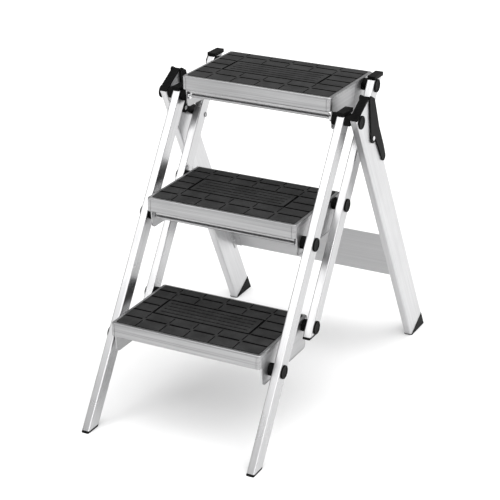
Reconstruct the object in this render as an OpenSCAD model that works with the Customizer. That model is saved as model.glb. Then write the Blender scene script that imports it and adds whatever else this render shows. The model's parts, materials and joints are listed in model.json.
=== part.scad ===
// Folding three-tread step stool.
// Millimetres. +Z is up, -Y is the side that is climbed, +X is to the climber's right.
// The origin is at the middle of the footprint, on the floor.

/* [Steps] */
// Height of each tread above the one below, and of the lowest above the floor
riser = 235; // [232:0.5:238]
// Distance from the front of one pivot line to the next, measured along the floor
going = 148.5; // [146:0.5:151]
// Width of a tread
tread_w = 360; // [340:1:364]
// Depth of a tread, front to back
tread_d = 236; // [230:1:238]
// Height of the front and back aprons of a tread
apron_h = 32; // [26:1:34]
// Height of the side plates of a tread
side_h = 78; // [74:1:80]
// How far the mat stands above the rim
mat_proud = 0.8; // [0.4:0.1:1.4]

/* [Stiles] */
// Width of a stile tube, side to side
stile_w = 18.5; // [17:0.5:19]
// Depth of a stile tube, front to back
stile_d = 36; // [34:0.5:36.5]
// Wall of the tubes
wall = 1.8; // [1.4:0.1:2.4]
// Gap between a tread and a stile, filled by a spacer
side_gap = 13; // [11:0.5:14]

/* [Rear legs] */
// Lean of the rear legs from upright
leg_lean = 30; // [29:0.5:31]
// Outward splay of each rear leg
leg_splay = 0.75; // [0.5:0.05:1]
// Width of a rear leg, front to back
leg_w = 73; // [71:0.5:73]
// Thickness of a rear leg, side to side
leg_t = 19; // [17:0.5:20]
// Height of the brace plate between the rear legs
brace_h = 153; // [120:1:160]

/* [Pivots] */
// Radius of the pivot pins
pin_r = 4; // [3.5:0.25:4.5]
// Radius of the round caps over the pivot pins
cap_r = 15; // [13:0.5:15.5]
// Radial clearance of the running fits
fit = 0.05; // [0.02:0.01:0.08]

/* [Hidden] */
$fn = 48;

LEFT = -1;
RIGHT = 1;
SIDES = [LEFT, RIGHT];
TREADS = [1, 2, 3];

// Front pivots sit this far behind and below the front top edge of the middle tread;
// the back pivots are further back and higher by the link vector.
pivot_back = 39.7;
pivot_drop = 51.5;
link_y = 164;
link_z = 34.5;
// How far the front edge of each tread lies behind its nominal place
setback = [-13, 0, 15];

stile_lean = atan(going / riser);
stile_in = tread_w / 2 - 2 + side_gap;
stile_out = stile_in + stile_w;
pivot_z = riser - pivot_drop;
top_pivot_z = pivot_z + 2 * riser;

// A rear leg's pivot lies this far behind its front edge; leg_gap is the space to the stile
leg_front = 13.4;
leg_back = leg_w - leg_front;
leg_gap = 13.5;
leg_in = stile_out + leg_gap;
leg_out = leg_in + leg_t;
leg_top = 15;
leg_end = 745;
foot_lip = 0.9;

// The footprint is centred on the origin
front_reach = pivot_z * tan(stile_lean) + stile_d / 2 / cos(stile_lean);
back_reach = 2 * going + top_pivot_z * tan(leg_lean) + (leg_back + foot_lip) / cos(leg_lean);
pivot_y = (front_reach - back_reach) / 2;

foot_t = 5;
plug_z = 200;
front_cut = 665.5;
rear_cut = 703;
cap_t = 8;
end_cap_t = 4;
sheet = 2;
side_t = 2.5;
washer_gap = 0.3;
pin_cap_t = 3.5;
pin_head_r = 8;
pin_head_t = 4;
foot_insert = 14;
plug_insert = 7;
front_cap_insert = 6;
rear_cap_insert = 8;
leg_cap_insert = 7;

// Points on the pivot lines, in the plane of the stile
function front_pivot(k) = [pivot_y + (k - 1) * going, pivot_z + (k - 1) * riser];
function back_pivot(k) = front_pivot(k) + [link_y, link_z];
function tread_corner(k) =
    front_pivot(k) + [setback[k - 1] - pivot_back, pivot_drop];

// ---- shared shapes ----

module rounded_rect(w, d, r) {
    square([w - 2 * r, d], center = true);
    square([w, d - 2 * r], center = true);
    for (x = [-1, 1], y = [-1, 1])
        translate([x * (w / 2 - r), y * (d / 2 - r)]) circle(r);
}

// A bar along X, from x0 to x1, centred on the point yz
module x_bar(yz, x0, x1, r) {
    translate([x0, yz[0], yz[1]]) rotate([0, 90, 0]) cylinder(r = r, h = x1 - x0);
}

// Moves children that are drawn for the right side to the given side
module on_side(side) {
    if (side == RIGHT) children();
    else mirror([1, 0, 0]) children();
}

// Everything between two heights
module slab(z0, z1) {
    translate([-400, -600, z0]) cube([800, 1200, z1 - z0]);
}

// ---- stiles ----

// Local frame of a stile: origin on a pivot, Z up along the tube
module along_stile(yz) {
    translate([(stile_in + stile_out) / 2, yz[0], yz[1]]) rotate([-stile_lean, 0, 0]) children();
}

module stile_section(grow = 0) {
    rounded_rect(stile_w + 2 * grow, stile_d + 2 * grow, 3 + grow);
}

module stile_tube(yz, z0, z1) {
    intersection() {
        slab(z0, z1);
        along_stile(yz) translate([0, 0, -400]) linear_extrude(1300) difference() {
            stile_section();
            rounded_rect(stile_w - 2 * wall, stile_d - 2 * wall, 1.6);
        }
    }
}

// The solid core of a stile between two heights, grown sideways for caps or shrunk for inserts
module stile_core(yz, z0, z1, grow) {
    intersection() {
        slab(z0, z1);
        along_stile(yz) translate([0, 0, -400]) linear_extrude(1300) stile_section(grow);
    }
}

module front_stile(side) {
    color("gainsboro") on_side(side) difference() {
        stile_tube(front_pivot(1), foot_t, front_cut);
        for (k = TREADS) x_bar(front_pivot(k), stile_in - 5, stile_out + 5, pin_r);
    }
}

module rear_stile(side) {
    color("gainsboro") on_side(side) difference() {
        stile_tube(back_pivot(1), plug_z + foot_t, rear_cut);
        for (k = TREADS) x_bar(back_pivot(k), stile_in - 5, stile_out + 5, pin_r);
        x_bar(stud_point(), stile_in - 5, stile_out + 5, pin_r);
    }
}

// Flat pad under a stile, with a tongue inside the tube
module stile_plug(yz, z0, insert) {
    stile_core(yz, z0, z0 + foot_t, 0);
    stile_core(yz, z0 + foot_t, z0 + foot_t + insert, -wall - 0.2);
}

// Flat cap on a stile, overhanging all round but on the tread side, with a tongue in the tube
module stile_cap(yz, z0, insert, front_lip, back_lip) {
    outer_lip = 1;
    reach = stile_d / 2 / cos(stile_lean);
    mid_y = yz[0] + (z0 - yz[1]) * tan(stile_lean);
    translate([(stile_in + stile_out + outer_lip) / 2, mid_y + (back_lip - front_lip) / 2, z0])
        linear_extrude(cap_t)
            rounded_rect(stile_w + outer_lip, 2 * reach + front_lip + back_lip, 3);
    stile_core(yz, z0 - insert, z0, -wall - 0.2);
}

module front_foot(side) {
    color("#262626") on_side(side) stile_plug(front_pivot(1), 0, foot_insert);
}

module rear_plug(side) {
    color("#262626") on_side(side) stile_plug(back_pivot(1), plug_z, plug_insert);
}

module front_cap(side) {
    color("#262626") on_side(side) stile_cap(front_pivot(3), front_cut, front_cap_insert, 4, 4);
}

module rear_cap(side) {
    color("#262626") on_side(side) stile_cap(back_pivot(3), rear_cut, rear_cap_insert, 1, 7);
}

// ---- pivots ----

// A pin through a stile, with its inner head inside the tread
module stile_pin(yz, end_x) {
    side_in = tread_w / 2 - sheet - side_t;
    x_bar(yz, side_in - washer_gap - pin_head_t, side_in - washer_gap, pin_head_r);
    x_bar(yz, side_in - washer_gap, end_x, pin_r);
}

// Round cap with a domed edge, its flat side at x0
module round_cap(yz, x0) {
    edge = 1.2;
    translate([x0, yz[0], yz[1]]) rotate([0, 90, 0]) rotate_extrude() polygon([
        [0, 0], [cap_r, 0], [cap_r, pin_cap_t - edge],
        for (a = [15:15:75]) [cap_r - edge + edge * cos(a), pin_cap_t - edge + edge * sin(a)],
        [cap_r - edge, pin_cap_t], [0, pin_cap_t]
    ]);
}

module front_pins() {
    color("silver") for (side = SIDES) on_side(side) {
        for (k = [1, 2]) stile_pin(front_pivot(k), stile_out);
        stile_pin(front_pivot(3), leg_out + 0.6);
    }
}

module front_pin_caps() {
    color("#2b2b2b") for (side = SIDES) on_side(side) {
        for (k = [1, 2]) round_cap(front_pivot(k), stile_out);
        round_cap(front_pivot(3), leg_out + 0.6);
    }
}

module rear_pins() {
    color("silver") for (side = SIDES) on_side(side)
        for (k = TREADS) stile_pin(back_pivot(k), stile_out);
}

module rear_pin_caps() {
    color("#2b2b2b") for (side = SIDES) on_side(side)
        for (k = TREADS) round_cap(back_pivot(k), stile_out);
}

// Block that keeps the rear leg clear of the front stile
module pivot_block(side) {
    block_t = leg_gap - 1.2;
    p = front_pivot(3);
    color("#262626") on_side(side) difference() {
        translate([stile_out, p[0] + 0.5, p[1] + 1.3]) rotate([90, 0, 90])
            linear_extrude(block_t) rounded_rect(31, 21, 4);
        x_bar(p, stile_out - 1, leg_in, pin_r);
    }
}

// ---- treads ----

// Local frame of a tread: origin at the middle of its front top edge, Y to the back
module at_tread(k) {
    c = tread_corner(k);
    translate([0, c[0], c[1]]) children();
}

module tread_outline(inset_x, inset_f, inset_b, r) {
    d = tread_d - inset_f - inset_b;
    translate([0, inset_f + d / 2]) rounded_rect(tread_w - 2 * inset_x, d, r);
}

module mat_outline(grow = 0) {
    tread_outline(7.8 - grow, 9.8 - grow, 7.4 - grow, 4);
}

top_t = 5;
mat_deep = 2.6;
rim_h = 10;
lip_w = 9;

module tread_pan(k) {
    color("silver") at_tread(k) difference() {
        translate([0, 0, -apron_h]) linear_extrude(apron_h) tread_outline(0, 0, 0, 7);
        // the hollow underneath, open between the front and back lips
        translate([0, 0, -apron_h + sheet]) linear_extrude(apron_h - sheet - top_t)
            tread_outline(sheet, sheet, sheet, 3);
        translate([0, 0, -apron_h - 1]) linear_extrude(sheet + 2)
            tread_outline(-5, lip_w, lip_w, 2);
        // the back lip stops short of the side plates
        for (side = SIDES)
            translate([side * (tread_w / 2 - sheet) - (side_t + 1), tread_d - lip_w - 5, -apron_h - 1])
                cube([2 * (side_t + 1), 5 + lip_w - sheet, sheet + 1.5]);
        // the side walls are only a rim
        for (side = SIDES)
            translate([side * tread_w / 2 - 5, 12, -apron_h - 1])
                cube([10, tread_d - 16, apron_h - rim_h + 1]);
        // the recess for the mat
        translate([0, 0, -mat_deep]) linear_extrude(mat_deep + 1) mat_outline(0.2);
    }
}

module tread_mat(k) {
    color("#303030") at_tread(k)
        translate([0, 0, -mat_deep]) linear_extrude(mat_deep + mat_proud) mat_outline();
}

// Outline of a side plate, in the tread's own Y and Z
module side_outline() {
    front_y = 13;
    back_y = tread_d - 5;
    toe = 14;
    heel = 9;
    polygon([
        [front_y, -top_t], [front_y + 0.5, -apron_h], [front_y + 4, -side_h + toe],
        for (a = [180:15:270]) [front_y + 4 + toe + toe * cos(a), -side_h + toe + toe * sin(a)],
        for (a = [270:15:360]) [back_y - heel + heel * cos(a), -side_h + heel + heel * sin(a)],
        [back_y, -top_t]
    ]);
}

module tread_side(k, side) {
    x_in = tread_w / 2 - sheet - side_t;
    color("lightgray") on_side(side) difference() {
        at_tread(k) translate([x_in, 0, 0]) rotate([90, 0, 90]) linear_extrude(side_t) side_outline();
        x_bar(front_pivot(k), x_in - 5, x_in + 10, pin_r + fit);
        x_bar(back_pivot(k), x_in - 5, x_in + 10, pin_r + fit);
    }
}

// Spacer bushes between the side plates and the stiles
module tread_spacers(k) {
    x0 = tread_w / 2 - sheet;
    color("#202020") for (side = SIDES) on_side(side)
        for (p = [front_pivot(k), back_pivot(k)]) difference() {
            x_bar(p, x0, stile_in - washer_gap, 14);
            x_bar(p, x0 - 5, stile_in + 5, pin_r + fit);
            // room for the rim of the pan
            at_tread(k) translate([x0 - 1, 0, -rim_h]) cube([sheet + 1, tread_d, 2 * rim_h]);
        }
}

// Rivets that hold the side plates to the rim of the pan
module tread_rivets(k) {
    x_head = tread_w / 2 - sheet - side_t;
    color("silver") at_tread(k) for (side = SIDES) on_side(side)
        for (y = [24, 92, 160])
            translate([x_head - 1.2, y, -8.6]) rotate([0, 90, 0]) cylinder(r = 3, h = 1.2);
}

// Stiffening rail behind the front apron, between the side plates
module tread_rail(k) {
    half = tread_w / 2 - sheet - side_t - washer_gap - pin_head_t - 3;
    rail_y = 20;
    rail_top = top_t;
    rail_low = 54;
    foot = 10;
    color("lightgray") at_tread(k) translate([-half, 0, 0]) rotate([90, 0, 90]) linear_extrude(2 * half)
        polygon([
            [rail_y, -rail_top], [rail_y, -rail_low], [rail_y + foot, -rail_low],
            [rail_y + foot, -rail_low + sheet], [rail_y + sheet, -rail_low + sheet],
            [rail_y + sheet, -rail_top]
        ]);
}

// ---- rear legs ----

// Local frame of the right leg: origin on its pivot, Z up along the leg, Y across it to the back
module along_leg() {
    p = front_pivot(3);
    translate([0, p[0], p[1]]) rotate([leg_lean, 0, 0]) children();
}

// The same with X turned by the splay, so that the leg's faces are square to X
module in_leg() {
    along_leg() translate([leg_in, 0, 0]) rotate([0, -leg_splay, 0]) children();
}

module leg_section(grow = 0, r = 4) {
    translate([leg_t / 2, (leg_back - leg_front) / 2])
        rounded_rect(leg_t + 2 * grow, leg_w + 2 * grow, r);
}

module rear_leg(side) {
    color("gainsboro") on_side(side) difference() {
        in_leg() translate([0, 0, -leg_end]) linear_extrude(leg_end + leg_top) difference() {
            leg_section();
            leg_section(-wall, 2.2);
        }
        x_bar(front_pivot(3), leg_in - 10, leg_out + 10, pin_r + fit);
        in_leg() lever_bore(lever_pin_r);
    }
}

// Wedge foot between the square end of the leg and the floor
module leg_foot(side) {
    color("#262626") on_side(side) {
        intersection() {
            slab(0, 200);
            in_leg() translate([0, 0, -leg_end - 80]) linear_extrude(80) leg_section(foot_lip, 4.5);
        }
        in_leg() translate([0, 0, -leg_end]) linear_extrude(foot_insert) leg_section(-wall - 0.2, 2);
    }
}

// Ribbed cap over the top end of a leg
module leg_cap(side) {
    rib = 1;
    ribs = 9;
    color("#262626") on_side(side) in_leg() {
        translate([0, 0, leg_top]) linear_extrude(end_cap_t - rib) leg_section(0.4, 3);
        for (i = [0:ribs - 1])
            translate([1, -leg_front + 3 + i * (leg_w - 6) / (ribs - 0.4), leg_top])
                cube([leg_t - 2, 4.4, end_cap_t]);
        translate([0, 0, leg_top - leg_cap_insert]) linear_extrude(leg_cap_insert)
            leg_section(-wall - 0.2, 2);
    }
}

brace_from = 458;
brace_back = leg_back - 0.4;

module brace() {
    half = leg_in + sin(leg_splay) * brace_from - 1;
    color("lightgray") along_leg() translate([-half, brace_back - sheet, -brace_from - brace_h])
        cube([2 * half, sheet, brace_h]);
}

// Angle between the end of the brace plate and the inner face of a leg
module brace_angle(side) {
    flange = 15;
    color("lightgray") on_side(side) in_leg() difference() {
        translate([-flange, brace_back - flange, -brace_from - brace_h]) cube([flange, flange - sheet, brace_h]);
        translate([-flange - 1, brace_back - flange - 1, -brace_from - brace_h - 1])
            cube([flange + 1 - sheet, flange - 2 * sheet + 1, brace_h + 2]);
    }
}

module brace_rivets() {
    color("dimgray") for (side = SIDES) on_side(side) in_leg()
        for (z = [brace_from + 26, brace_from + brace_h - 26])
            translate([-sheet - 1.5, brace_back - 9, -z]) rotate([0, 90, 0]) cylinder(r = 3.2, h = 1.5);
}

// ---- locking levers ----

// The lever rocks on a pin through the leg; points here are in the leg's own Y and Z
lever_y = 30;
lever_z = -80;
lever_pin_r = 3;
cheek_t = 3;
cheek_gap = 0.6;
cheek_x = leg_t + cheek_gap;

module lever_bore(r) {
    translate([-20, lever_y, lever_z]) rotate([0, 90, 0]) cylinder(r = r, h = leg_t + 40);
}

// Outer cheek: an ear on the pin, a rounded nose at the top and a long thumb tail
module lever_outline() {
    translate([lever_y, lever_z]) circle(11.5);
    translate([55, -165]) circle(9.5);
    translate([60, 12]) circle(6);
    polygon([
        [19.5, -75], [54.4, 14.2], [60, 18], [66, 14], [76, -2], [72.3, -36], [66.6, -78],
        [66.6, -140], [64.4, -165], [45.6, -164], [42, -118], [38.5, -92], [lever_y, lever_z]
    ]);
}

// Inner cheek: shorter, with a hollow nose that lies on the lock stud
module hook_outline() {
    difference() {
        union() {
            translate([lever_y, lever_z]) circle(11.5);
            translate([60, 12]) circle(6);
            polygon([
                [19.5, -75], [54.4, 14.2], [60, 18], [66, 14], [76, -2], [72.3, -36], [66.6, -78],
                [66.6, -112], [62, -116], [46, -116], [38, -104], [lever_y + 4, lever_z - 10]
            ]);
        }
        translate(stud_in_leg()) circle(stud_r + 1.4);
    }
}

// Back of the lever, standing off the leg's edge so that the lever can rock
module spine_outline(low) {
    intersection() {
        polygon([
            [71.4, 30], [71.4, 0], [66, -36], [leg_back + 0.8, -80], [leg_back + 0.8, -200], [90, -200], [90, 30]
        ]);
        lever_outline();
        translate([0, low]) square([100, 300]);
    }
}

module lock_lever(side) {
    color("#1f1f1f") on_side(side) in_leg() difference() {
        union() {
            translate([cheek_x, 0, 0]) rotate([90, 0, 90]) linear_extrude(cheek_t) lever_outline();
            translate([-cheek_gap - cheek_t, 0, 0]) rotate([90, 0, 90]) linear_extrude(cheek_t)
                hook_outline();
            translate([-cheek_gap - cheek_t, 0, 0]) rotate([90, 0, 90])
                linear_extrude(leg_t + 2 * (cheek_gap + cheek_t)) spine_outline(-104);
            translate([leg_t / 2, 0, 0]) rotate([90, 0, 90])
                linear_extrude(leg_t / 2 + cheek_gap + cheek_t) spine_outline(-180);
        }
        lever_bore(lever_pin_r + fit);
    }
}

module lever_pin(side) {
    head = 1.4;
    reach = cheek_gap + cheek_t + 0.3;
    color("white") on_side(side) in_leg() translate([-reach, lever_y, lever_z]) rotate([0, 90, 0]) {
        cylinder(r = lever_pin_r, h = leg_t + 2 * reach);
        translate([0, 0, -head]) cylinder(r = 5, h = head);
        translate([0, 0, leg_t + 2 * reach]) cylinder(r = 5, h = head);
    }
}

// Stud on the rear stile that the lever's hook lies on
stud_r = 5;
function stud_point() =
    back_pivot(3) + [-125 * sin(stile_lean) + 13 * cos(stile_lean), -125 * cos(stile_lean) - 13 * sin(stile_lean)];

// The same point in the leg's own Y and Z
function stud_in_leg() =
    let (d = stud_point() - front_pivot(3))
    [d[0] * cos(leg_lean) + d[1] * sin(leg_lean), d[1] * cos(leg_lean) - d[0] * sin(leg_lean)];

module lock_stud(side) {
    color("dimgray") on_side(side) {
        x_bar(stud_point(), stile_in - 1.5, stile_in, stud_r + 1);
        x_bar(stud_point(), stile_in, stile_out, pin_r);
        x_bar(stud_point(), stile_out, leg_in + 0.6, stud_r);
    }
}

front_stile(LEFT);  // front_stile_l
front_stile(RIGHT);  // front_stile_r
front_foot(LEFT);  // front_foot_l
front_foot(RIGHT);  // front_foot_r
front_cap(LEFT);  // front_cap_l
front_cap(RIGHT);  // front_cap_r
front_pins();
front_pin_caps();
pivot_block(LEFT);  // pivot_block_l
pivot_block(RIGHT);  // pivot_block_r
tread_pan(1);  // tread_1_pan
tread_side(1, LEFT);  // tread_1_side_l
tread_side(1, RIGHT);  // tread_1_side_r
tread_mat(1);  // tread_1_mat
tread_spacers(1);  // tread_1_spacers
tread_rivets(1);  // tread_1_rivets
tread_pan(2);  // tread_2_pan
tread_side(2, LEFT);  // tread_2_side_l
tread_side(2, RIGHT);  // tread_2_side_r
tread_mat(2);  // tread_2_mat
tread_spacers(2);  // tread_2_spacers
tread_rivets(2);  // tread_2_rivets
tread_pan(3);  // tread_3_pan
tread_side(3, LEFT);  // tread_3_side_l
tread_side(3, RIGHT);  // tread_3_side_r
tread_mat(3);  // tread_3_mat
tread_spacers(3);  // tread_3_spacers
tread_rivets(3);  // tread_3_rivets
tread_rail(2);  // tread_2_rail
tread_rail(3);  // tread_3_rail
rear_stile(LEFT);  // rear_stile_l
rear_stile(RIGHT);  // rear_stile_r
rear_plug(LEFT);  // rear_plug_l
rear_plug(RIGHT);  // rear_plug_r
rear_cap(LEFT);  // rear_cap_l
rear_cap(RIGHT);  // rear_cap_r
rear_pins();
rear_pin_caps();
lock_stud(LEFT);  // lock_stud_l
lock_stud(RIGHT);  // lock_stud_r
rear_leg(LEFT);  // rear_leg_l
rear_leg(RIGHT);  // rear_leg_r
leg_cap(LEFT);  // leg_cap_l
leg_cap(RIGHT);  // leg_cap_r
leg_foot(LEFT);  // leg_foot_l
leg_foot(RIGHT);  // leg_foot_r
brace();
brace_angle(LEFT);  // brace_angle_l
brace_angle(RIGHT);  // brace_angle_r
brace_rivets();
lever_pin(LEFT);  // lever_pin_l
lever_pin(RIGHT);  // lever_pin_r
lock_lever(LEFT);  // lock_lever_l
lock_lever(RIGHT);  // lock_lever_r
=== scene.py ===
import json
import math
import bmesh
import bpy
from mathutils import Matrix, Vector


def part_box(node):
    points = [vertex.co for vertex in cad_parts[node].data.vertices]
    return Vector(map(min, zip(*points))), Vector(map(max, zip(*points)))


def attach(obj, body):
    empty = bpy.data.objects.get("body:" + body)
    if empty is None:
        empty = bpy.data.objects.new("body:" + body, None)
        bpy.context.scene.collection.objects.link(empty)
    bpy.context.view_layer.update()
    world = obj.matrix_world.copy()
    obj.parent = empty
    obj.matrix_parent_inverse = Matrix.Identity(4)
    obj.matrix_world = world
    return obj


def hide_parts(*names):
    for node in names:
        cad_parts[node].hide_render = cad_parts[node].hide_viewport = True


# ---- the frame ----

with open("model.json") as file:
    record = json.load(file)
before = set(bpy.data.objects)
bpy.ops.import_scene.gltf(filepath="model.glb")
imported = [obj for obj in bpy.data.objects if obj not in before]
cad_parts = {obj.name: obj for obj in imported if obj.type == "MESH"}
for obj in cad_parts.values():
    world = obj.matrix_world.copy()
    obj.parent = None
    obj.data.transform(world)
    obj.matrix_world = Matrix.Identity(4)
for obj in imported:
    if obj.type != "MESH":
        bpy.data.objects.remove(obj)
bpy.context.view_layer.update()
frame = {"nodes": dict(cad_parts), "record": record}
record = frame["record"]
bodies = record["behaviour"]["bodies"]
slots = {part["node"]: part["material_slot"] for part in record["subparts"]}
joints = {joint["name"]: joint for joint in record["behaviour"]["joints"]}
SIDES = {"l": -1, "r": 1}
MM = 0.001


def pivot(name):
    return Vector(joints[name]["pos_m"])


def body_of(node):
    return next(body for body, nodes in bodies.items() if node in nodes)


# The stiles rise from the lowest front pivot to the highest
stile_up = (pivot("tread_3_fold") - pivot("fold")).normalized()
# The right leg's own frame: origin on its pivot, X out of its outer face, Y across it to the back, Z up along
# it. Its section is in millimetres. The lever's pin lies along X.
LEG_T = 19
LEG_FRONT = 13.4
LEG_BACK = 59.6
LEG_TOP = 15
LEVER_AT = Vector((LEG_T / 2, 30, -80)) * MM
leg_out = Vector(joints["lever_r_lift"]["axis"])

# The angle about X that stands Z along the stiles, or along the rear legs
STILE_LEAN = -math.atan2(stile_up.y, stile_up.z)
LEG_LEAN = math.atan2(-leg_out.y, leg_out.z)


def leg_frame(letter):
    across = Vector((0, math.cos(LEG_LEAN), math.sin(LEG_LEAN)))
    axes = Matrix((leg_out, across, leg_out.cross(across))).transposed()
    right = Matrix.Translation(pivot("lever_r_lift") - axes @ LEVER_AT) @ axes.to_4x4()
    return Matrix.Diagonal((SIDES[letter], 1, 1, 1)) @ right


# ---- materials ----


class Shader:
    """A Principled material with a few procedural layers."""

    def __init__(self, name, colour, metallic, roughness):
        self.material = bpy.data.materials.new(name)
        self.material.use_nodes = True
        self.nodes = self.material.node_tree.nodes
        self.links = self.material.node_tree.links
        self.surface = self.nodes["Principled BSDF"]
        self.surface.inputs["Base Color"].default_value = (*colour, 1)
        self.surface.inputs["Metallic"].default_value = metallic
        self.surface.inputs["Roughness"].default_value = roughness
        self.coordinates = self.nodes.new("ShaderNodeTexCoord").outputs["Object"]
        self.normal = None

    def noise(self, size, lean=0.0, detail=3, roughness=0.55):
        """Noise whose features have the given size in metres along the leaning X, Y and Z."""
        mapping = self.nodes.new("ShaderNodeMapping")
        mapping.vector_type = "TEXTURE"
        mapping.inputs["Rotation"].default_value = (lean, 0, 0)
        mapping.inputs["Scale"].default_value = size
        self.links.new(self.coordinates, mapping.inputs["Vector"])
        noise = self.nodes.new("ShaderNodeTexNoise")
        noise.inputs["Scale"].default_value = 1.0
        noise.inputs["Detail"].default_value = detail
        noise.inputs["Roughness"].default_value = roughness
        self.links.new(mapping.outputs["Vector"], noise.inputs["Vector"])
        return noise.outputs["Fac"]

    def mean(self, first, second):
        node = self.nodes.new("ShaderNodeMath")
        node.operation = "ADD"
        self.links.new(first, node.inputs[0])
        self.links.new(second, node.inputs[1])
        half = self.nodes.new("ShaderNodeMath")
        half.operation = "MULTIPLY"
        half.inputs[1].default_value = 0.5
        self.links.new(node.outputs[0], half.inputs[0])
        return half.outputs[0]

    def colours(self, value, low, high, start=0.36, end=0.64):
        ramp = self.nodes.new("ShaderNodeValToRGB")
        ramp.color_ramp.elements[0].position = start
        ramp.color_ramp.elements[1].position = end
        ramp.color_ramp.elements[0].color = (*low, 1)
        ramp.color_ramp.elements[1].color = (*high, 1)
        self.links.new(value, ramp.inputs["Fac"])
        self.links.new(ramp.outputs["Color"], self.surface.inputs["Base Color"])

    def rough(self, value, low, high):
        ramp = self.nodes.new("ShaderNodeMapRange")
        ramp.inputs["From Min"].default_value = 0.3
        ramp.inputs["From Max"].default_value = 0.7
        ramp.inputs["To Min"].default_value = low
        ramp.inputs["To Max"].default_value = high
        self.links.new(value, ramp.inputs["Value"])
        self.links.new(ramp.outputs["Result"], self.surface.inputs["Roughness"])

    def bump(self, value, distance, strength=1.0):
        bump = self.nodes.new("ShaderNodeBump")
        bump.inputs["Strength"].default_value = strength
        bump.inputs["Distance"].default_value = distance
        self.links.new(value, bump.inputs["Height"])
        if self.normal is not None:
            self.links.new(self.normal, bump.inputs["Normal"])
        self.normal = bump.outputs["Normal"]
        self.links.new(self.normal, self.surface.inputs["Normal"])


def grey(value):
    return (value, value, value * 1.01)


def brushed(name, low, high, rough_low, rough_high, along, depth, lean=0.0):
    """Aluminium with fine lines along one axis, uneven in tone and in polish."""
    shader = Shader(name, grey(high), 1.0, rough_high)
    fine = shader.noise([0.25 if axis == along else 0.0009 for axis in "XYZ"], lean, 4, 0.65)
    coarse = shader.noise([0.60 if axis == along else 0.0060 for axis in "XYZ"], lean, 3, 0.6)
    cloud = shader.noise((0.09, 0.09, 0.09), lean, 2)
    shader.colours(shader.mean(fine, coarse), grey(low), grey(high))
    shader.rough(cloud, rough_low, rough_high)
    shader.bump(fine, depth, 0.6)
    return shader.material


def moulded(name, low, high, rough_low, rough_high, grain, depth, specular):
    """Plastic or rubber with a fine grain and a faint uneven tone."""
    shader = Shader(name, grey(high), 0.0, rough_high)
    shader.surface.inputs["Specular IOR Level"].default_value = specular
    cloud = shader.noise((0.04, 0.04, 0.04), 0.0, 4)
    pores = shader.noise((grain, grain, grain), 0.0, 3, 0.6)
    shader.colours(cloud, grey(low), grey(high))
    shader.rough(pores, rough_low, rough_high)
    shader.bump(pores, depth, 0.6)
    return shader.material


materials = {
    "tube_metal": brushed("TubeMetal", 0.46, 0.57, 0.24, 0.32, "Z", 0.00004, STILE_LEAN),
    "leg_metal": brushed("LegMetal", 0.54, 0.63, 0.34, 0.44, "Z", 0.00004, LEG_LEAN),
    "tread_metal": brushed("TreadMetal", 0.24, 0.45, 0.30, 0.40, "X", 0.00006),
    "plate_metal": brushed("PlateMetal", 0.40, 0.50, 0.40, 0.50, "Y", 0.00004),
    "brace_metal": brushed("BraceMetal", 0.48, 0.56, 0.38, 0.50, "X", 0.00003),
    "mat": moulded("MatRubber", 0.013, 0.024, 0.55, 0.70, 0.0009, 0.00015, 0.20),
    # Painted shade: a near-black copy of the mat rubber for the floors and walls of its grooves, standing in
    # for the shade that falls in them
    "groove_shade": moulded("MatGroovePaintedShade", 0.003, 0.005, 0.80, 0.90, 0.0009, 0.00010, 0.02),
    "foot_rubber": moulded("FootRubber", 0.004, 0.008, 0.50, 0.62, 0.0010, 0.00008, 0.06),
    "black_plastic": moulded("BlackPlastic", 0.003, 0.006, 0.42, 0.54, 0.0007, 0.00006, 0.04),
    "steel": brushed("ZincSteel", 0.62, 0.78, 0.24, 0.38, "X", 0.00004),
    "steel_dark": brushed("DarkSteel", 0.30, 0.44, 0.30, 0.42, "X", 0.00004),
}


# ---- meshes ----


def shaded(mesh, angle=34):
    mesh.polygons.foreach_set("use_smooth", [True] * len(mesh.polygons))
    mesh.set_sharp_from_angle(angle=math.radians(angle))
    mesh.update()


def piece(name, bm, body, slot, nodes, angle=34, extra=(), look=None):
    """Makes the object from bm, in the shared frame, and hangs it on its body."""
    bmesh.ops.recalc_face_normals(bm, faces=bm.faces)
    mesh = bpy.data.meshes.new(name)
    bm.to_mesh(mesh)
    bm.free()
    shaded(mesh, angle)
    mesh.materials.append(materials[look or slot])
    for other in extra:
        mesh.materials.append(materials[other])
    made = bpy.data.objects.new(name, mesh)
    bpy.context.scene.collection.objects.link(made)
    flatter = made.modifiers.new("Flatter", "WEIGHTED_NORMAL")
    flatter.keep_sharp = True
    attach(made, body)
    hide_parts(*nodes)


# A CAD edge that turns by more than this, in degrees, is bevelled
EDGE_ANGLE = 28


def softened(node, bevel, segments=2, look=None, add=None):
    """A piece on a CAD node's own shape, with its edges broken by a small bevel in millimetres.

    add is called with the mesh, to put more on it.
    """
    bm = bmesh.new()
    bm.from_mesh(frame["nodes"][node].data)
    bmesh.ops.remove_doubles(bm, verts=bm.verts, dist=2e-6)
    bmesh.ops.dissolve_limit(
        bm, angle_limit=math.radians(0.6), verts=bm.verts, edges=bm.edges, use_dissolve_boundaries=False
    )
    if bevel:
        limit = math.radians(EDGE_ANGLE)
        sharp = [e for e in bm.edges if len(e.link_faces) == 2 and e.calc_face_angle(0) > limit]
        bmesh.ops.bevel(
            bm, geom=sharp, offset=bevel * MM, offset_type="OFFSET", segments=segments,
            profile=0.5, affect="EDGES", clamp_overlap=True,
        )
    if add:
        add(bm)
    title = "".join(word.capitalize() for word in node.split("_"))
    piece(title, bm, body_of(node), slots[node], [node], look=look)


def ring_faces(bm, rings):
    """Joins rings of points into a closed skin, with a cap on the first and the last."""
    loops = [[bm.verts.new(p) for p in ring] for ring in rings]
    count = len(loops[0])
    for low, high in zip(loops, loops[1:]):
        for i in range(count):
            j = (i + 1) % count
            bm.faces.new((low[i], low[j], high[j], high[i]))
    bm.faces.new(list(reversed(loops[0])))
    bm.faces.new(loops[-1])


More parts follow.
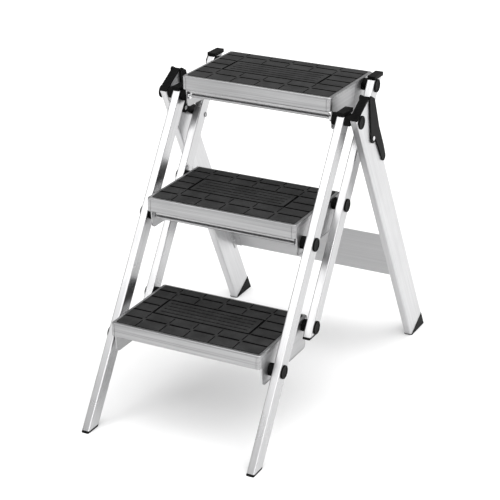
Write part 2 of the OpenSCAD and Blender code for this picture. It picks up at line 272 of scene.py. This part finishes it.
def block(bm, low, high, bevel):
    """A box with rounded edges, added to bm."""
    corners = [
        bm.verts.new((x, y, z))
        for x in (low[0], high[0]) for y in (low[1], high[1]) for z in (low[2], high[2])
    ]
    quads = [(0, 1, 3, 2), (4, 6, 7, 5), (0, 4, 5, 1), (2, 3, 7, 6), (0, 2, 6, 4), (1, 5, 7, 3)]
    faces = [bm.faces.new([corners[i] for i in quad]) for quad in quads]
    edges = list({e for f in faces for e in f.edges})
    bmesh.ops.bevel(
        bm, geom=edges, offset=bevel, offset_type="OFFSET", segments=2, profile=0.5, affect="EDGES"
    )


# ---- round caps over the pins ----

CAP_SIDES = 48
CAP_OUT = 3.5
# How far the cap's surface stands out from the face, and its distance from the pin's axis, in millimetres
CAP_PROFILE = [
    (0, 15), (2.2, 15), (2.75, 14.85), (3.2, 14.45), (3.45, 13.9), (CAP_OUT, 13.3), (3.45, 12.4),
    (3.1, 11.6), (2.6, 11.1), (2.35, 10.4), (2.3, 6), (2.32, 3.2), (2.5, 2.6), (2.55, 1.2),
]


def round_caps(name, node, centres):
    """A low disc with a rolled edge and a shallow dish, over each pin."""
    bm = bmesh.new()
    for centre, start in centres:
        for sign in (-1, 1):
            rings = [
                [
                    (
                        sign * (start + x * MM),
                        centre.y + r * MM * math.cos(2 * math.pi * i / CAP_SIDES),
                        centre.z + r * MM * math.sin(2 * math.pi * i / CAP_SIDES),
                    )
                    for i in range(CAP_SIDES)
                ]
                for x, r in CAP_PROFILE
            ]
            ring_faces(bm, rings)
    piece(name, bm, body_of(node), slots[node], [node])


front_pivots = [pivot("fold"), pivot("tread_2_fold"), pivot("tread_3_fold")]
link = pivot("rear_stile_fold") - pivot("fold")
stile_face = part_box("front_stile_r")[1].x
leg_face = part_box("front_pin_caps")[1].x - CAP_OUT * MM
round_caps(
    "FrontPinCaps", "front_pin_caps",
    [(front_pivots[0], stile_face), (front_pivots[1], stile_face), (front_pivots[2], leg_face)],
)
round_caps("RearPinCaps", "rear_pin_caps", [(p + link, stile_face) for p in front_pivots])


# ---- treads ----

TREAD_W = 360
TREAD_D = 236
APRON = 32
RIM = 10
RIM_ROLL = 2.6
SHEET = 2
SEAM_X = 170.6
SEAM_HALF = 0.7


def outline(inset_x, inset_front, inset_back, radius, breaks=(), seam=0.0):
    """A rounded rectangle in the tread's own X and Y, in millimetres.

    It has extra points on its sides, and on its front a fine upright seam near each corner.
    """
    x = TREAD_W / 2 - inset_x
    front = inset_front
    back = TREAD_D - inset_back
    steps = 8
    points = []
    corners = [(x, front, -90), (x, back, 0), (-x, back, 90), (-x, front, 180)]
    for index, (cx, cy, start) in enumerate(corners):
        mid = (cx - math.copysign(radius, cx), cy + (radius if cy == front else -radius))
        for i in range(steps + 1):
            a = math.radians(start + 90 * i / steps)
            points.append((mid[0] + radius * math.cos(a), mid[1] + radius * math.sin(a)))
        if index == 0:
            points += [(x, y) for y in breaks]
        if index == 2:
            points += [(-x, y) for y in reversed(breaks)]
    for middle in (-SEAM_X, SEAM_X):
        points += [(middle - SEAM_HALF, front), (middle, front + seam), (middle + SEAM_HALF, front)]
    return points


# The low side walls of the pan start this far behind its front, and end this far before its back
SIDE_FROM = 12
SIDE_SHORT = 4
SIDE_TO = TREAD_D - SIDE_SHORT
BREAKS = (SIDE_FROM - 0.1, SIDE_FROM + 0.1, 60, 120, 180, SIDE_TO - 0.1, SIDE_TO + 0.1)


def pan(number):
    """The pressed pan: rolled rim, bed for the mat, front and back aprons with lips turned in."""
    node = "tread_%d_pan" % number
    low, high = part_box(node)
    corner = Vector((0, low.y, high.z))

    def on_side(point):
        return SIDE_FROM < point[1] < SIDE_TO and abs(point[0]) > TREAD_W / 2 - 14

    def ring(inset, z, radius, side_z=None, side_inset=None, seam=0.0):
        shape = outline(inset, inset, inset, radius, BREAKS, seam)
        walls = outline(inset if side_inset is None else side_inset, inset, inset, radius, BREAKS)
        made = []
        for point, wall in zip(shape, walls):
            if side_z is not None and on_side(wall):
                made.append(Vector((wall[0], wall[1], side_z)) * MM + corner)
            else:
                made.append(Vector((point[0], point[1], z)) * MM + corner)
        return made

    def bed(grow, z):
        shape = outline(7.6 + grow, 9.6 + grow, 7.2 + grow, 4.4, BREAKS)
        return [Vector((p[0], p[1], z)) * MM + corner for p in shape]

    rings = [bed(0.4, -2.6), bed(0.1, -2.3), bed(0, -0.9), bed(-0.25, -0.45), bed(-0.7, -0.18)]
    rings += [ring(4.6, -0.12, 5)]
    for step in range(7):
        a = math.radians(90 * step / 6)
        inset = RIM_ROLL * (1 - math.sin(a))
        rings.append(ring(inset, -RIM_ROLL * (1 - math.cos(a)), 7 - inset * 0.8))
    rings.append(ring(0, -3.4, 7))
    rings.append(ring(0, -3.9, 7, seam=0.9))
    rings.append(ring(0, -9.0, 7, -9.0, seam=0.9))
    rings.append(ring(0, -APRON + 2.6, 7, -9.2, seam=0.9))
    rings.append(ring(0.25, -APRON + 1.3, 7, -9.5, seam=0.6))
    rings.append(ring(0.9, -APRON + 0.4, 6.6, -9.8))
    rings.append(ring(1.9, -APRON, 6, -RIM, 1.0))
    rings.append(ring(8.6, -APRON, 4, -RIM, 1.9))
    rings.append(ring(9.0, -APRON + 0.6, 4, -RIM + 0.2, 2.0))
    rings.append(ring(9.0, -APRON + SHEET, 4, -RIM + 0.4, 2.0))
    rings.append(ring(3.0, -APRON + SHEET, 4, -RIM + 0.6, 2.0))
    rings.append(ring(2.0, -APRON + SHEET + 1, 4, -RIM + 0.8, 2.0))
    rings.append(ring(2.0, -6.0, 4, -6.0, 2.0))
    rings.append(ring(3.0, -5.0, 4, -5.0, 3.0))
    bm = bmesh.new()
    ring_faces(bm, rings)
    piece("TreadPan%d" % number, bm, body_of(node), slots[node], [node], 40)


# Lines of grooves in a mat, in the tread's own X and Y, and the lines of its middle panel, in millimetres
COLUMNS = (-124.0, -65.2, -6.4, 52.4, 111.2)
ROWS = (48.1, 86.4, 124.7, 163.0, 201.3)
PANEL = (COLUMNS[0], ROWS[1], COLUMNS[4], ROWS[3])
RIBS = tuple(ROWS[1] + 38.3 * 2 * k / 5 for k in range(1, 5))
# Half widths of the grooves that run along Y, along X, round the panel and inside it
GROOVE = 1.2
SEAM = 3.0
FRAME = 2.6
RIB = 1.5
# The grooves stop this far from where they would cross, and from the panel's ends
GAP = 3.0
RIB_END = 12.0
# Heights from the top of the tread's rim, and the depth of the grooves
MAT_TOP = 0.8
MAT_BOTTOM = -2.5
MAT_CUT = 2.3


def mat(number):
    """The rubber mat: short grooves between its blocks, and a framed panel with plain grooves.

    It has no underside, because it lies in the pan's bed.
    """
    node = "tread_%d_mat" % number
    low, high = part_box("tread_%d_pan" % number)
    corner = Vector((0, low.y, high.z))
    x0, x1 = -(TREAD_W / 2 - 7.8), TREAD_W / 2 - 7.8
    y0, y1 = 9.8, TREAD_D - 7.4
    xs = {x0, x1, PANEL[0] - FRAME, PANEL[0] + FRAME, PANEL[2] - FRAME, PANEL[2] + FRAME}
    xs |= {PANEL[0] + RIB_END, PANEL[2] - RIB_END}
    ys = {y0, y1, PANEL[1] - FRAME, PANEL[1] + FRAME, PANEL[3] - FRAME, PANEL[3] + FRAME}
    for x in COLUMNS:
        xs |= {x - GROOVE, x + GROOVE, x - GROOVE - GAP, x + GROOVE + GAP}
    for y in ROWS:
        ys |= {y - SEAM, y + SEAM, y - SEAM - GAP, y + SEAM + GAP}
    for y in RIBS:
        ys |= {y - RIB, y + RIB}
    xs, ys = sorted(xs), sorted(ys)

    def near(value, lines, reach):
        return any(abs(value - line) < reach for line in lines)

    def in_panel(x, y, grow):
        return PANEL[0] - grow < x < PANEL[2] + grow and PANEL[1] - grow < y < PANEL[3] + grow

    def ribbed(x, y):
        return near(y, RIBS, RIB) and PANEL[0] + RIB_END < x < PANEL[2] - RIB_END

    def grooved(x, y):
        if in_panel(x, y, FRAME):
            if not in_panel(x, y, -FRAME):
                return True
            return ribbed(x, y)
        if near(x, COLUMNS, GROOVE):
            return not near(y, ROWS, SEAM + GAP)
        if near(y, ROWS, SEAM):
            return not near(x, COLUMNS, GROOVE + GAP)
        return False

    bm = bmesh.new()
    grid = [[bm.verts.new(Vector((x, y, MAT_TOP)) * MM + corner) for y in ys] for x in xs]
    sunk = []
    for i in range(len(xs) - 1):
        for j in range(len(ys) - 1):
            face = bm.faces.new((grid[i][j], grid[i + 1][j], grid[i + 1][j + 1], grid[i][j + 1]))
            if grooved((xs[i] + xs[i + 1]) / 2, (ys[j] + ys[j + 1]) / 2):
                sunk.append(face)
    rim = [e for e in bm.edges if e.is_boundary]
    corners = [grid[i][j] for i in (0, -1) for j in (0, -1)]
    walls = bmesh.ops.extrude_edge_only(bm, edges=rim)
    lower = [v for v in walls["geom"] if isinstance(v, bmesh.types.BMVert)]
    for vert in lower:
        vert.co.z = corner.z + MAT_BOTTOM * MM
    made = bmesh.ops.inset_region(
        bm, faces=sunk, thickness=0.35 * MM, depth=-MAT_CUT * MM, use_even_offset=True, use_boundary=True
    )
    # The sunk faces take the second material, the painted shade of the grooves
    for face in sunk + made["faces"]:
        face.material_index = 1
    uprights = [e for v in corners for e in v.link_edges if abs(e.verts[0].co.z - e.verts[1].co.z) > MM]
    bmesh.ops.bevel(bm, geom=uprights, offset=4 * MM, segments=6, profile=0.5, affect="EDGES")
    piece("TreadMat%d" % number, bm, body_of(node), slots[node], [node], 30, ["groove_shade"])


# A side plate's rolled edge and the rounds of its toe and heel: radii in millimetres
HEM = 1.5
TOE = 14
HEEL = 9


def hem(number, letter):
    """The rolled edge that runs along the foot of a side plate, from its toe round its heel."""
    low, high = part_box("tread_%d_side_%s" % (number, letter))
    outer = high.x if SIDES[letter] > 0 else low.x
    toe_y, toe_z = low.y / MM + 4 + TOE, low.z / MM + TOE
    heel_y = high.y / MM - HEEL
    path = []
    for step in range(9):
        a = math.radians(180 + 90 * step / 8)
        path.append((toe_y + (TOE - HEM) * math.cos(a), toe_z + (TOE - HEM) * math.sin(a)))
    for step in range(9):
        a = math.radians(270 + 90 * step / 8)
        path.append((heel_y + (HEEL - HEM) * math.cos(a), low.z / MM + HEEL + (HEEL - HEM) * math.sin(a)))
    path.append((heel_y + HEEL - HEM, high.z / MM - 14))

    def add(bm):
        points = [Vector(p) for p in path]
        rings = []
        for i, point in enumerate(points):
            along = points[min(i + 1, len(points) - 1)] - points[max(i - 1, 0)]
            across = Vector((along.y, -along.x)).normalized()
            ring = []
            for k in range(12):
                a = 2 * math.pi * k / 12
                side = point + across * HEM * math.cos(a)
                x = outer + (HEM * math.sin(a) - 0.5) * SIDES[letter] * MM
                ring.append((x, side.x * MM, side.y * MM))
            rings.append(ring)
        ring_faces(bm, rings)

    return add


def rail(number):
    """The strip under a tread: a flat web, a slot below it, and a rounded bead along the bottom."""
    node = "tread_%d_rail" % number
    low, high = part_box(node)
    y0, y1 = low.y, high.y
    z0, z1 = low.z, high.z
    bead = 3.1 * MM
    profile = [(y0 + SHEET * MM, z1), (y0, z1), (y0, z0 + 10.4 * MM), (y0 + 0.5 * MM, z0 + 9.6 * MM)]
    profile += [(y0 + 7 * MM, z0 + 9.4 * MM), (y0 + 7 * MM, z0 + 2 * bead + 0.2 * MM)]
    for step in range(9):
        a = math.radians(90 + 180 * step / 8)
        profile.append((y0 + bead + bead * math.cos(a), z0 + bead + bead * math.sin(a)))
    profile += [(y1, z0), (y1, z0 + SHEET * MM), (y0 + 9 * MM, z0 + SHEET * MM), (y0 + 9 * MM, z0 + 11 * MM)]
    profile += [(y0 + SHEET * MM, z0 + 11.6 * MM)]
    bm = bmesh.new()
    ring_faces(bm, [[(x, y, z) for y, z in profile] for x in (low.x, high.x)])
    piece("TreadRail%d" % number, bm, body_of(node), slots[node], [node], 30)


for number in (1, 2, 3):
    pan(number)
    mat(number)
    for letter in SIDES:
        softened("tread_%d_side_%s" % (number, letter), 0.7, add=hem(number, letter))
    softened("tread_%d_spacers" % number, 0.8)
    softened("tread_%d_rivets" % number, 0.5, 3)
    if number > 1:
        rail(number)

# ---- stiles, legs and fittings ----


def rounded(x0, x1, y0, y1, radius, z):
    """A level rounded rectangle, in millimetres."""
    ring = []
    corners = [(x1, y0, -90), (x1, y1, 0), (x0, y1, 90), (x0, y0, 180)]
    for x, y, start in corners:
        middle = (x - math.copysign(radius, x - (x0 + x1) / 2), y - math.copysign(radius, y - (y0 + y1) / 2))
        for step in range(7):
            a = math.radians(start + 15 * step)
            ring.append(Vector((middle[0] + radius * math.cos(a), middle[1] + radius * math.sin(a), z)) * MM)
    return ring


def leg_cap(letter):
    """The cap on the leg's top end: a plate with a rolled edge, and fine grip ribs across it."""
    node = "leg_cap_" + letter
    rings = []
    profile = ((1.9, -6.8), (1.9, 0.02), (-0.4, 0.02), (-0.4, 2.2), (-0.25, 2.7), (0.2, 3.0), (0.8, 3.1))
    for inset, z in profile:
        radius = 3.0 - inset * 0.5
        outer = (inset, LEG_T - inset, inset - LEG_FRONT, LEG_BACK - inset)
        rings.append(rounded(*outer, radius, LEG_TOP + z))
    bm = bmesh.new()
    ring_faces(bm, rings)
    ribs = 16
    first, last = 3 - LEG_FRONT, LEG_BACK - 3
    for i in range(ribs):
        y = first + (last - first) * i / (ribs - 1)
        low = Vector((2.0, y - 1.2, LEG_TOP + 2.6)) * MM
        high = Vector((LEG_T - 2.0, y + 1.2, LEG_TOP + 3.7)) * MM
        block(bm, low, high, 0.35 * MM)
    bm.transform(leg_frame(letter))
    piece("LegCap" + letter.upper(), bm, body_of(node), slots[node], [node])


for letter in SIDES:
    for which in ("front", "rear"):
        softened("%s_stile_%s" % (which, letter), 0)
        softened("%s_cap_%s" % (which, letter), 1.3, 4)
    softened("front_foot_" + letter, 0.9, 3)
    softened("rear_plug_" + letter, 0.9, 3)
    softened("pivot_block_" + letter, 1.0, 3)
    softened("lock_stud_" + letter, 0.4)
    softened("rear_leg_" + letter, 0, look="leg_metal")
    softened("leg_foot_" + letter, 1.2, 3)
    leg_cap(letter)
    softened("brace_angle_" + letter, 0.4)
    softened("lever_pin_" + letter, 0.5, 3)
    softened("lock_lever_" + letter, 0.8, 3)
softened("front_pins", 0.5)
softened("rear_pins", 0.5)
softened("brace", 0.6)
softened("brace_rivets", 0.6, 3)

# ---- studio ----


FLOOR_HALF = 14.0
FLOOR_TONE = 0.9


def stage_floor():
    """A plain pale floor."""
    mesh = bpy.data.meshes.new("Floor")
    corners = [(x * FLOOR_HALF, y * FLOOR_HALF, 0) for x, y in ((-1, -1), (1, -1), (1, 1), (-1, 1))]
    mesh.from_pydata(corners, [], [(0, 1, 2, 3)])
    floor = bpy.data.objects.new("Floor", mesh)
    bpy.context.scene.collection.objects.link(floor)
    material = bpy.data.materials.new("PaleFloor")
    material.use_nodes = True
    surface = material.node_tree.nodes["Principled BSDF"]
    surface.inputs["Base Color"].default_value = (FLOOR_TONE, FLOOR_TONE, FLOOR_TONE, 1)
    surface.inputs["Roughness"].default_value = 0.9
    surface.inputs["Specular IOR Level"].default_value = 0.1
    mesh.materials.append(material)


def softbox(name, place, target, size, power):
    light = bpy.data.lights.new(name, "AREA")
    light.shape = "RECTANGLE"
    light.size, light.size_y = size
    light.energy = power
    lamp = bpy.data.objects.new(name, light)
    lamp.location = place
    lamp.rotation_mode = "QUATERNION"
    lamp.rotation_quaternion = (Vector(target) - Vector(place)).to_track_quat("-Z", "Y")
    bpy.context.scene.collection.objects.link(lamp)


def sky(name, toward_light, strength, spread):
    """A very soft sun, so that the floor is even and its shadows are faint."""
    light = bpy.data.lights.new(name, "SUN")
    light.energy = strength
    light.angle = math.radians(spread)
    lamp = bpy.data.objects.new(name, light)
    lamp.rotation_mode = "QUATERNION"
    lamp.rotation_quaternion = (-Vector(toward_light)).to_track_quat("-Z", "Y")
    bpy.context.scene.collection.objects.link(lamp)


stage_floor()
sky("Overhead", (0.42, -0.25, 1.0), 3.5, 104)
softbox("FrontLeft", (-1.5, -2.6, 2.6), (0, -0.1, 0.35), (1.3, 1.3), 13)

world = bpy.data.worlds.new("Studio")
bpy.context.scene.world = world
world.use_nodes = True
background = world.node_tree.nodes["Background"]
background.inputs["Color"].default_value = (1, 1, 1, 1)
background.inputs["Strength"].default_value = 0.52

# ---- camera ----

camera_data = bpy.data.cameras.new("Camera")
camera = bpy.data.objects.new("Camera", camera_data)
bpy.context.scene.collection.objects.link(camera)
bpy.context.scene.camera = camera
LOOK_AT = Vector((-0.02335, 0.0494, 0.3453))
ROLL = math.radians(0.814)
camera_data.sensor_width = 36
camera_data.lens = 115.42
camera_data.shift_x = -0.0182
camera_data.shift_y = -0.0470
camera.location = (1.4755, -3.0426, 1.7076)
toward = LOOK_AT - camera.location
camera.rotation_mode = "QUATERNION"
camera.rotation_quaternion = toward.to_track_quat("-Z", "Y") @ Matrix.Rotation(ROLL, 3, "Z").to_quaternion()
bpy.context.scene.view_settings.view_transform = "Standard"
